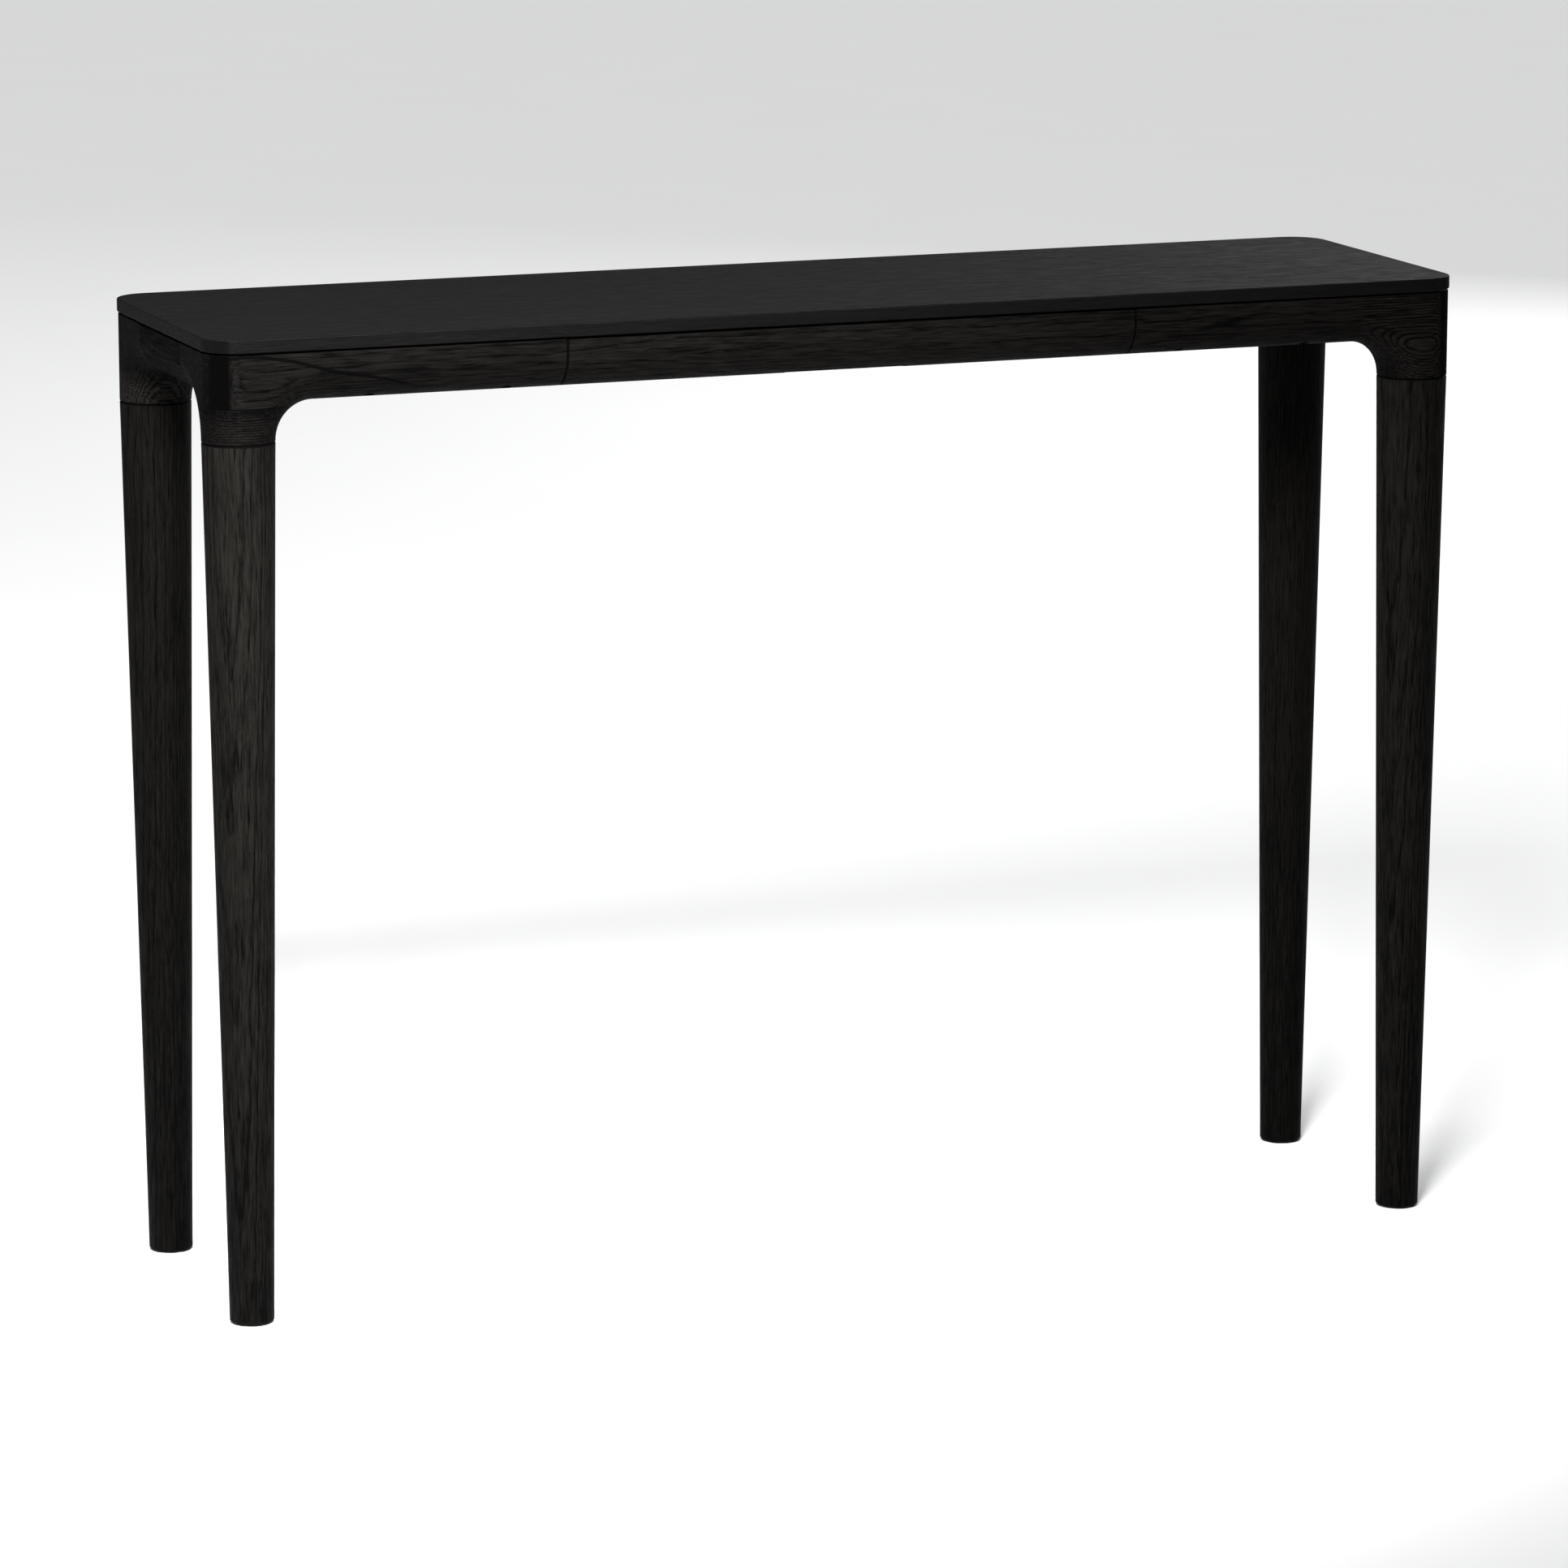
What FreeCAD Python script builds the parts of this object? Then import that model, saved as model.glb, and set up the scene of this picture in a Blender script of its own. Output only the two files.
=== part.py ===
"""Console table in black-stained oak: four round legs, a low apron and one drawer.

X runs along the table, -Y is the front and Z is up. The origin is on the floor, under the
middle of the table. Lengths are in millimetres.
"""
import FreeCAD, Part
import os

import Sketcher

os.makedirs("parts", exist_ok=True)
doc = FreeCAD.newDocument("ConsoleTable")
sheet = doc.addObject("Spreadsheet::Sheet", "Sizes")
Vector = FreeCAD.Vector
nodes = []


# ---------------------------------------------------------------- sizes

def size(alias, value):
    """Put one driving size in the sheet and return the expression that reads it."""
    cell = f"B{size.row}"
    sheet.set(f"A{size.row}", alias)
    sheet.set(cell, str(value))
    sheet.setAlias(cell, alias)
    size.row += 1
    return f"Sizes.{alias}"


size.row = 1

WIDTH = size("table_width", 1200)
DEPTH = size("table_depth", 330)
HEIGHT = size("table_height", 890)

TOP_THICKNESS = size("top_thickness", 12)
TOP_OVERHANG = size("top_overhang", 1)
TOP_EDGE_ROUND = size("top_edge_round", 1.2)
SHADOW_GAP = size("shadow_gap", 2)
STRIP_SETBACK = size("strip_setback", 10)
STRIP_WIDTH = size("strip_width", 23)

LEG_TOP_DIAMETER = size("leg_top_diameter", 65)
LEG_FOOT_DIAMETER = size("leg_foot_diameter", 40)
LEG_FOOT_CHAMFER = size("leg_foot_chamfer", 2)
LEG_JOINT_CHAMFER = size("leg_joint_chamfer", 1)
KNEE_RADIUS = size("knee_radius", 33.5)
RAIL_HEIGHT = size("rail_height", 45)
RAIL_FLAT = size("rail_flat", 2.5)
RAIL_EDGE_ROUND = size("rail_edge_round", 0.8)
KNEE_BLOCK_DROP = size("knee_block_drop", 2)

PAD_DIAMETER = size("pad_diameter", 24)
PAD_THICKNESS = size("pad_thickness", 4)
PAD_STANDOUT = size("pad_standout", 1)
PAD_FIT = size("pad_fit", 0.2)

BOLT_DIAMETER = size("bolt_diameter", 8)
BOLT_IN_LEG = size("bolt_in_leg", 45)
BOLT_CHAMFER = size("bolt_chamfer", 1)
BOLT_PAST_INSERT = size("bolt_past_insert", 2)
BOLT_END_ROOM = size("bolt_end_room", 2)
BOLT_CLEARANCE = size("bolt_clearance", 0.5)
INSERT_DIAMETER = size("insert_diameter", 14)
INSERT_LENGTH = size("insert_length", 20)

DOWEL_DIAMETER = size("dowel_diameter", 8)
DOWEL_LENGTH = size("dowel_length", 36)
DOWEL_SPACING = size("dowel_spacing", 16)
DOWEL_DROP = size("dowel_drop", 14)
DOWEL_CHAMFER = size("dowel_chamfer", 0.8)
KNEE_DOWEL_LENGTH = size("knee_dowel_length", 30)
KNEE_DOWEL_OFFSET = size("knee_dowel_offset", 17)

SCREW_DIAMETER = size("screw_diameter", 4)
SCREW_HEAD_DIAMETER = size("screw_head_diameter", 8)
SCREW_HEAD_HEIGHT = size("screw_head_height", 2.4)
SCREW_POINT = size("screw_point", 3)
SCREW_BORE_DIAMETER = size("screw_bore_diameter", 10)
TOP_SCREW_BORE_DEPTH = size("top_screw_bore_depth", 20)
TOP_SCREW_BITE = size("top_screw_bite", 9)
TOP_SCREW_INSET = size("top_screw_inset", 50)

DRAWER_FRONT_WIDTH = size("drawer_front_width", 543)
DRAWER_GAP = size("drawer_gap", 2.5)
DRAWER_DROP = size("drawer_drop", 0.5)
DRAWER_BOX_RISE = size("drawer_box_rise", 3.5)
DRAWER_BOX_DROP = size("drawer_box_drop", 4)
DRAWER_BACK_SPACE = size("drawer_back_space", 13)
DRAWER_WALL = size("drawer_wall", 10)
DRAWER_INNER_FRONT_WALL = size("drawer_inner_front_wall", 12)
DRAWER_BOTTOM_THICKNESS = size("drawer_bottom_thickness", 4)
DRAWER_BOTTOM_RISE = size("drawer_bottom_rise", 3)
DRAWER_GROOVE_DEPTH = size("drawer_groove_depth", 5)
DRAWER_BOTTOM_FIT = size("drawer_bottom_fit", 0.2)
GRIP_LENGTH = size("grip_length", 120)
GRIP_WIDTH = size("grip_width", 13)
GRIP_DEPTH = size("grip_depth", 12)
GRIP_FROM_BACK = size("grip_from_back", 3)

DRAWER_DOWEL_DIAMETER = size("drawer_dowel_diameter", 6)
DRAWER_DOWEL_LENGTH = size("drawer_dowel_length", 24)
DRAWER_DOWEL_IN_SIDE = size("drawer_dowel_in_side", 8)
DRAWER_DOWEL_SPACING = size("drawer_dowel_spacing", 16)
FRONT_SCREW_LENGTH = size("front_screw_length", 28)
FRONT_SCREW_BORE_DEPTH = size("front_screw_bore_depth", 3)
FRONT_SCREW_INSET = size("front_screw_inset", 45)
FRONT_SCREW_SPACING = size("front_screw_spacing", 110)

BEARER_THICKNESS = size("bearer_thickness", 22)
BEARER_RISE = size("bearer_rise", 4)
BEARER_DOWEL_LENGTH = size("bearer_dowel_length", 30)
BEARER_DOWEL_SPACING = size("bearer_dowel_spacing", 18)

SLIDE_SPACE = size("slide_space", 10)
SLIDE_HEIGHT = size("slide_height", 17)
SLIDE_INNER_HEIGHT = size("slide_inner_height", 10)
SLIDE_STEEL = size("slide_steel", 1)
SLIDE_OUTER_REACH = size("slide_outer_reach", 8)
SLIDE_INNER_REACH = size("slide_inner_reach", 7.5)
SLIDE_SETBACK = size("slide_setback", 3)
CAGE_LENGTH = size("cage_length", 70)
CAGE_STEEL = size("cage_steel", 0.6)
CAGE_REACH = size("cage_reach", 6)
CAGE_CLEARANCE = size("cage_clearance", 0.4)
BALL_CLEARANCE = size("ball_clearance", 0.05)
BALL_POCKET_CLEARANCE = size("ball_pocket_clearance", 0.1)
BALL_SPACING = size("ball_spacing", 11)
SLIDE_SCREW_DIAMETER = size("slide_screw_diameter", 3.2)
SLIDE_SCREW_HEAD_DIAMETER = size("slide_screw_head_diameter", 6)
SLIDE_SCREW_HEAD_HEIGHT = size("slide_screw_head_height", 1.4)
SLIDE_SCREW_LENGTH = size("slide_screw_length", 9)
SLIDE_SCREW_POINT = size("slide_screw_point", 1.5)
SLIDE_SCREW_INSET = size("slide_screw_inset", 20)

BUMPER_DIAMETER = size("bumper_diameter", 12)
BUMPER_GAP = size("bumper_gap", 0.3)
BUMPER_FROM_MIDDLE = size("bumper_from_middle", 150)

OVERRUN = size("cutter_overrun", 1)

doc.recompute()

FRAME_X = f"({WIDTH} / 2 - {TOP_OVERHANG})"
FRAME_Y = f"({DEPTH} / 2 - {TOP_OVERHANG})"
LEG_RADIUS = f"({LEG_TOP_DIAMETER} / 2)"
LEG_X = f"({FRAME_X} - {LEG_RADIUS})"
LEG_Y = f"({FRAME_Y} - {LEG_RADIUS})"
BEND = f"({KNEE_RADIUS} + {LEG_RADIUS})"
ARM_X = f"({LEG_X} - {BEND})"
ARM_Y = f"({LEG_Y} - {BEND})"
RAIL_THICKNESS = f"({LEG_RADIUS} + {RAIL_FLAT})"
RAIL_TOP = f"({HEIGHT} - {TOP_THICKNESS} - {SHADOW_GAP})"
RAIL_BOTTOM = f"({RAIL_TOP} - {RAIL_HEIGHT})"
KNEE_Z = f"({RAIL_BOTTOM} - {KNEE_RADIUS})"
KNEE_BLOCK_TOP = f"({RAIL_BOTTOM} - {KNEE_BLOCK_DROP})"
JOINT_Z = f"({KNEE_Z} - {LEG_JOINT_CHAMFER})"
INSIDE_Y = f"({FRAME_Y} - {RAIL_THICKNESS})"
OPENING_X = f"({DRAWER_FRONT_WIDTH} / 2 + {DRAWER_GAP})"
STRIP_MIDDLE_X = f"({FRAME_X} - {STRIP_SETBACK} - {STRIP_WIDTH} / 2)"
STRIP_MIDDLE_Y = f"({FRAME_Y} - {STRIP_SETBACK} - {STRIP_WIDTH} / 2)"

BOX_X = f"({OPENING_X} - {SLIDE_SPACE})"
BOX_INSIDE_X = f"({BOX_X} - {DRAWER_WALL})"
BOX_BACK_Y = f"({INSIDE_Y} - {DRAWER_BACK_SPACE})"
BOX_BOTTOM = f"({RAIL_BOTTOM} + {DRAWER_BOX_RISE})"
BOX_TOP = f"({RAIL_TOP} - {DRAWER_BOX_DROP})"
BOX_HEIGHT = f"({BOX_TOP} - {BOX_BOTTOM})"
BOX_MIDDLE = f"(({BOX_TOP} + {BOX_BOTTOM}) / 2)"
BOX_LENGTH = f"({BOX_BACK_Y} + {INSIDE_Y})"
SLIDE_FRONT = f"({SLIDE_SETBACK} - {INSIDE_Y})"
SLIDE_LENGTH = f"({BOX_BACK_Y} - {SLIDE_FRONT})"
SLIDE_MIDDLE = f"({SLIDE_FRONT} + {SLIDE_LENGTH} / 2)"
RACE_Z = f"(({SLIDE_HEIGHT} / 2 - {SLIDE_STEEL} + {SLIDE_INNER_HEIGHT} / 2) / 2)"
BALL_RADIUS = f"(({SLIDE_HEIGHT} / 2 - {SLIDE_STEEL} - {SLIDE_INNER_HEIGHT} / 2) / 2 - {BALL_CLEARANCE})"

ALONG_X = FreeCAD.Rotation(Vector(0, 1, 0), 90)
ALONG_MINUS_Y = FreeCAD.Rotation(Vector(1, 0, 0), 90)
UPRIGHT = FreeCAD.Rotation()
LEFT, RIGHT = -1, 1
FRONT, REAR = -1, 1
CORNERS = [(x_side, y_side) for x_side in (LEFT, RIGHT) for y_side in (FRONT, REAR)]
BALLS_IN_ROW = 6
TOLERANCE = 0.01


# ---------------------------------------------------------------- helpers

def number(expression):
    """The value of an expression with the sizes as they are now."""
    return float(sheet.evalExpression(str(expression)))


def spread(count):
    """Steps of one, centred on zero, for a row of equal pieces."""
    return [index - (count - 1) / 2 for index in range(count)]


def place(item, at=("0", "0", "0"), rotation=UPRIGHT):
    """Put an object at a point given by three expressions."""
    item.Placement = FreeCAD.Placement(Vector(), rotation)
    for axis, expression in zip("xyz", at):
        item.setExpression(f"Placement.Base.{axis}", str(expression))
    return item


def node(item, label):
    """Mark an object as a sub-part, with its own label."""
    item.Label = label
    nodes.append(item)
    return item


def primitive(kind, at=("0", "0", "0"), rotation=UPRIGHT, **sizes):
    """A Part primitive whose sizes are expressions."""
    item = doc.addObject(f"Part::{kind}", kind.lower())
    for name, expression in sizes.items():
        item.setExpression(name, str(expression))
    return place(item, at, rotation)


def block(low, high):
    """A box between two corners."""
    length, width, height = (f"({end}) - ({start})" for start, end in zip(low, high))
    return primitive("Box", low, Length=length, Width=width, Height=height)


def cut(base, tool):
    """One object with another taken away from it."""
    item = doc.addObject("Part::Cut", "cut")
    item.Base = base
    item.Tool = tool
    return item


def gather(parts):
    """Separate solids kept together in one compound."""
    item = doc.addObject("Part::Compound", "group")
    item.Links = parts
    return item


def copies(master, places):
    """Several copies of one piece as a compound. Each place is a point and a rotation."""
    links = []
    for at, rotation in places:
        link = doc.addObject("App::Link", "copy")
        link.LinkedObject = master
        links.append(place(link, at, rotation))
    return gather(links)


def mirrored(source, normal):
    """The same piece on the other side of a plane through the middle of the table."""
    item = doc.addObject("Part::Mirroring", "mirror")
    item.Source = source
    item.Normal = normal
    return item


def pair(build, name):
    """The right piece, and its mirror image on the left."""
    right = node(build(), f"{name}_right")
    node(mirrored(right, Vector(1, 0, 0)), f"{name}_left")


def plane(body, role):
    """One of a body's own origin planes."""
    return next(item for item in body.Origin.OriginFeatures if item.Role == role)


def outline(body, role, corners, arcs=None):
    """A closed sketch through the corners. arcs maps a side's number to its arc's centre."""
    arcs = arcs or {}
    sketch = body.newObject("Sketcher::SketchObject", "outline")
    sketch.AttachmentSupport = [(plane(body, role), "")]
    sketch.MapMode = "FlatFace"
    points = [Vector(number(x), number(y), 0) for x, y in corners]
    ends = []
    for index, start in enumerate(points):
        end = points[(index + 1) % len(points)]
        if index not in arcs:
            sketch.addGeometry(Part.LineSegment(start, end))
            ends.append((1, 2))
            continue
        centre = Vector(number(arcs[index][0]), number(arcs[index][1]), 0)
        to_start = start - centre
        to_end = end - centre
        turns_left = to_start.cross(to_end).z > 0
        first, last = (to_start, to_end) if turns_left else (to_end, to_start)
        circle = Part.Circle(centre, Vector(0, 0, 1), to_start.Length)
        sketch.addGeometry(Part.ArcOfCircle(circle, circle.parameter(centre + first),
                                            circle.parameter(centre + last)))
        ends.append((1, 2) if turns_left else (2, 1))
    for index in range(len(points)):
        following = (index + 1) % len(points)
        sketch.addConstraint(Sketcher.Constraint(
            "Coincident", index, ends[index][1], following, ends[following][0]))
    for index, corner in enumerate(corners):
        hold_point(sketch, index, ends[index][0], corner)
    for index, centre in arcs.items():
        hold_distance(sketch, "DistanceX", index, 3, centre[0])
    return sketch


def hold_point(sketch, geometry, end, corner):
    """Tie one end of a sketch line to two expressions."""
    hold_distance(sketch, "DistanceX", geometry, end, corner[0])
    hold_distance(sketch, "DistanceY", geometry, end, corner[1])


def hold_distance(sketch, kind, geometry, end, expression):
    """Tie one coordinate of a sketch point to an expression."""
    if str(expression) == "0":
        axis = -2 if kind == "DistanceX" else -1
        sketch.addConstraint(Sketcher.Constraint("PointOnObject", geometry, end, axis))
        return
    index = sketch.addConstraint(
        Sketcher.Constraint(kind, -1, 1, geometry, end, number(expression)))
    sketch.setExpression(f"Constraints[{index}]", str(expression))


def padded(role, corners, length, arcs=None, at=("0", "0", "0"), rotation=UPRIGHT):
    """A body with one outline padded along the plane's normal."""
    body = doc.addObject("PartDesign::Body", "body")
    pad = body.newObject("PartDesign::Pad", "pad")
    pad.Profile = outline(body, role, corners, arcs)
    pad.setExpression("Length", str(length))
    place(body, at, rotation)
    return body, pad


def turned(corners):
    """A body with one outline turned about its own vertical axis."""
    body = doc.addObject("PartDesign::Body", "body")
    sketch = outline(body, "XZ_Plane", corners)
    revolution = body.newObject("PartDesign::Revolution", "revolution")
    revolution.Profile = sketch
    revolution.ReferenceAxis = (sketch, ["V_Axis"])
    revolution.Angle = 360
    return body


def rounded(body, feature, radius, wanted):
    """Round the edges of a feature whose middle point passes a test."""
    doc.recompute()
    names = [f"Edge{index + 1}" for index, edge in enumerate(feature.Shape.Edges)
             if wanted(edge.BoundBox)]
    fillet = body.newObject("PartDesign::Fillet", "fillet")
    fillet.Base = (feature, names)
    fillet.setExpression("Radius", radius)
    return fillet


def level(box, z):
    """True for an edge that lies flat at a height."""
    return abs(box.ZMin - z) < TOLERANCE and abs(box.ZMax - z) < TOLERANCE


# ---------------------------------------------------------------- fasteners

def pan_screw(length):
    """A pan-head screw: its head is below z = 0 and its shank points up."""
    shank = f"{SCREW_DIAMETER} / 2"
    head = f"{SCREW_HEAD_DIAMETER} / 2"
    return turned([("0", f"0 - {SCREW_HEAD_HEIGHT}"), (head, f"0 - {SCREW_HEAD_HEIGHT}"),
                   (head, "0"), (shank, "0"), (shank, f"{length} - {SCREW_POINT}"),
                   ("0", length)])


def pan_screw_drill(length, bore_depth):
    """The counterbore and pilot hole of a pan-head screw."""
    shank = f"{SCREW_DIAMETER} / 2"
    bore = f"{SCREW_BORE_DIAMETER} / 2"
    return turned([("0", f"0 - {bore_depth}"), (bore, f"0 - {bore_depth}"),
                   (bore, "0"), (shank, "0"), (shank, length), ("0", length)])


def peg(diameter, length, chamfer):
    """A round bar with chamfered ends, standing on z = 0."""
    radius = f"{diameter} / 2"
    return turned([("0", "0"), (f"{radius} - {chamfer}", "0"), (radius, chamfer),
                   (radius, f"{length} - {chamfer}"), (f"{radius} - {chamfer}", length),
                   ("0", length)])


RAIL_DOWEL_Z = f"({RAIL_TOP} - {DOWEL_DROP})"
rail_dowel_places = []
for x_side, y_side in CORNERS:
    for step in spread(2):
        from_face = f"({RAIL_THICKNESS} / 2 + {step} * {DOWEL_SPACING})"
        along = (f"{x_side} * {ARM_X} - {DOWEL_LENGTH} / 2",
                 f"{y_side} * ({FRAME_Y} - {from_face})", RAIL_DOWEL_Z)
        across = (f"{x_side} * ({FRAME_X} - {from_face})",
                  f"{y_side} * {ARM_Y} + {DOWEL_LENGTH} / 2", RAIL_DOWEL_Z)
        rail_dowel_places += [(along, ALONG_X), (across, ALONG_MINUS_Y)]
rail_dowel = peg(DOWEL_DIAMETER, DOWEL_LENGTH, DOWEL_CHAMFER)
rail_dowels = node(copies(rail_dowel, rail_dowel_places), "rail_dowels")

knee_dowel_places = []
for x_side, y_side in CORNERS:
    for step in (LEFT, RIGHT):
        at = (f"{x_side} * {LEG_X} + {step} * {KNEE_DOWEL_OFFSET}", f"{y_side} * {LEG_Y}",
              f"{KNEE_BLOCK_TOP} - {KNEE_DOWEL_LENGTH} / 2")
        knee_dowel_places.append((at, UPRIGHT))
knee_dowel = peg(DOWEL_DIAMETER, KNEE_DOWEL_LENGTH, DOWEL_CHAMFER)
knee_dowels = node(copies(knee_dowel, knee_dowel_places), "knee_dowels")

bearer_dowel_places = []
for x_side, y_side in CORNERS:
    for step in spread(2):
        at = (f"{x_side} * ({OPENING_X} + {BEARER_THICKNESS} / 2)",
              f"{y_side} * {INSIDE_Y} + {BEARER_DOWEL_LENGTH} / 2",
              f"{BOX_MIDDLE} + {step} * {BEARER_DOWEL_SPACING}")
        bearer_dowel_places.append((at, ALONG_MINUS_Y))
bearer_dowel = peg(DOWEL_DIAMETER, BEARER_DOWEL_LENGTH, DOWEL_CHAMFER)
bearer_dowels = node(copies(bearer_dowel, bearer_dowel_places), "bearer_dowels")

top_screw_seat = f"({RAIL_BOTTOM} + {TOP_SCREW_BORE_DEPTH})"
top_screw_length = f"({HEIGHT} - {TOP_THICKNESS} + {TOP_SCREW_BITE} - {top_screw_seat})"
top_screw_spots = [("0", STRIP_MIDDLE_Y)]
for x_side in (LEFT, RIGHT):
    top_screw_spots += [
        (f"{x_side} * ({ARM_X} - {TOP_SCREW_INSET})", f"0 - {STRIP_MIDDLE_Y}"),
        (f"{x_side} * ({OPENING_X} + {TOP_SCREW_INSET})", f"0 - {STRIP_MIDDLE_Y}"),
        (f"{x_side} * ({ARM_X} - {TOP_SCREW_INSET})", STRIP_MIDDLE_Y),
        (f"{x_side} * {STRIP_MIDDLE_X}", "0")]
top_screw_places = [((x, y, top_screw_seat), UPRIGHT) for x, y in top_screw_spots]
node(copies(pan_screw(top_screw_length), top_screw_places), "top_screws")
top_screw_drill = pan_screw_drill(top_screw_length, f"({TOP_SCREW_BORE_DEPTH} + {OVERRUN})")
top_screw_drills = copies(top_screw_drill, top_screw_places)

leg_axes = [(f"{x_side} * {LEG_X}", f"{y_side} * {LEG_Y}") for x_side, y_side in CORNERS]
bolt_length = f"({BOLT_IN_LEG} + {INSERT_LENGTH} + {BOLT_PAST_INSERT})"
leg_bolt = peg(BOLT_DIAMETER, bolt_length, BOLT_CHAMFER)
node(copies(leg_bolt, [((x, y, f"{JOINT_Z} - {BOLT_IN_LEG}"), UPRIGHT) for x, y in leg_axes]),
     "leg_bolts")
leg_insert = turned([(f"{BOLT_DIAMETER} / 2", "0"), (f"{INSERT_DIAMETER} / 2", "0"),
                     (f"{INSERT_DIAMETER} / 2", INSERT_LENGTH),
                     (f"{BOLT_DIAMETER} / 2", INSERT_LENGTH)])
node(copies(leg_insert, [((x, y, JOINT_Z), UPRIGHT) for x, y in leg_axes]), "leg_inserts")


# ---------------------------------------------------------------- top and its strips

top_corner_radius = f"({LEG_RADIUS} + {TOP_OVERHANG})"
straight_x = f"({WIDTH} / 2 - {top_corner_radius})"
straight_y = f"({DEPTH} / 2 - {top_corner_radius})"
top_corners = [(f"0 - {straight_x}", f"0 - {DEPTH} / 2"), (straight_x, f"0 - {DEPTH} / 2"),
               (f"{WIDTH} / 2", f"0 - {straight_y}"), (f"{WIDTH} / 2", straight_y),
               (straight_x, f"{DEPTH} / 2"), (f"0 - {straight_x}", f"{DEPTH} / 2"),
               (f"0 - {WIDTH} / 2", straight_y), (f"0 - {WIDTH} / 2", f"0 - {straight_y}")]
top_arcs = {1: (straight_x, f"0 - {straight_y}"), 3: (straight_x, straight_y),
            5: (f"0 - {straight_x}", straight_y), 7: (f"0 - {straight_x}", f"0 - {straight_y}")}
top_body, top_pad = padded("XY_Plane", top_corners, TOP_THICKNESS, top_arcs,
                           at=("0", "0", f"{HEIGHT} - {TOP_THICKNESS}"))
rounded(top_body, top_pad, TOP_EDGE_ROUND,
        lambda box: level(box, 0) or level(box, number(TOP_THICKNESS)))
node(cut(top_body, top_screw_drills), "top_panel")

strip_inside_y = f"({FRAME_Y} - {STRIP_SETBACK} - {STRIP_WIDTH})"
strip_inside_x = f"({FRAME_X} - {STRIP_SETBACK} - {STRIP_WIDTH})"
strip_top = f"{RAIL_TOP} + {SHADOW_GAP}"
rear_strip = block((f"0 - {STRIP_MIDDLE_X}", strip_inside_y, RAIL_TOP),
                   (STRIP_MIDDLE_X, f"{FRAME_Y} - {STRIP_SETBACK}", strip_top))
right_strip = block((strip_inside_x, f"0 - {strip_inside_y}", RAIL_TOP),
                    (f"{FRAME_X} - {STRIP_SETBACK}", strip_inside_y, strip_top))
rear_strip = node(cut(rear_strip, top_screw_drills), "rear_spacer_strip")
front_strip = block((f"0 - {STRIP_MIDDLE_X}", f"{STRIP_SETBACK} - {FRAME_Y}", RAIL_TOP),
                    (STRIP_MIDDLE_X, f"0 - {strip_inside_y}", strip_top))
node(cut(front_strip, top_screw_drills), "front_tie_strip")
right_strip = node(cut(right_strip, top_screw_drills), "right_spacer_strip")
node(mirrored(right_strip, Vector(1, 0, 0)), "left_spacer_strip")


# ---------------------------------------------------------------- legs, knees and corner blocks

def leg():
    """A round tapered leg with a bolt hole in its top and a pad recess in its foot."""
    recess = f"({PAD_DIAMETER} / 2 + {PAD_FIT})"
    foot = f"({LEG_FOOT_DIAMETER} / 2)"
    bolt = f"{BOLT_DIAMETER} / 2"
    body = turned([
        ("0", PAD_THICKNESS), (recess, PAD_THICKNESS), (recess, PAD_STANDOUT),
        (f"{foot} - {LEG_FOOT_CHAMFER}", PAD_STANDOUT),
        (foot, f"{PAD_STANDOUT} + {LEG_FOOT_CHAMFER}"),
        (LEG_RADIUS, f"{JOINT_Z} - {LEG_JOINT_CHAMFER}"),
        (f"{LEG_RADIUS} - {LEG_JOINT_CHAMFER}", JOINT_Z),
        (bolt, JOINT_Z), (bolt, f"{JOINT_Z} - {BOLT_IN_LEG}"),
        ("0", f"{JOINT_Z} - {BOLT_IN_LEG}")])
    return place(body, (LEG_X, f"0 - {LEG_Y}", "0"))


def knee_arm(axis_rotation, bend_at, arm_low, arm_high, drill_at):
    """A square arm whose inner side bends, with a round section, from the leg to the rail."""
    arm = block(arm_low, arm_high)
    waste = primitive("Cylinder", drill_at, axis_rotation, Radius=BEND,
                      Height=f"2 * ({LEG_RADIUS} + {OVERRUN})")
    tube = primitive("Torus", bend_at, axis_rotation, Radius1=BEND, Radius2=LEG_RADIUS)
    return cut(arm, cut(waste, tube))


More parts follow.
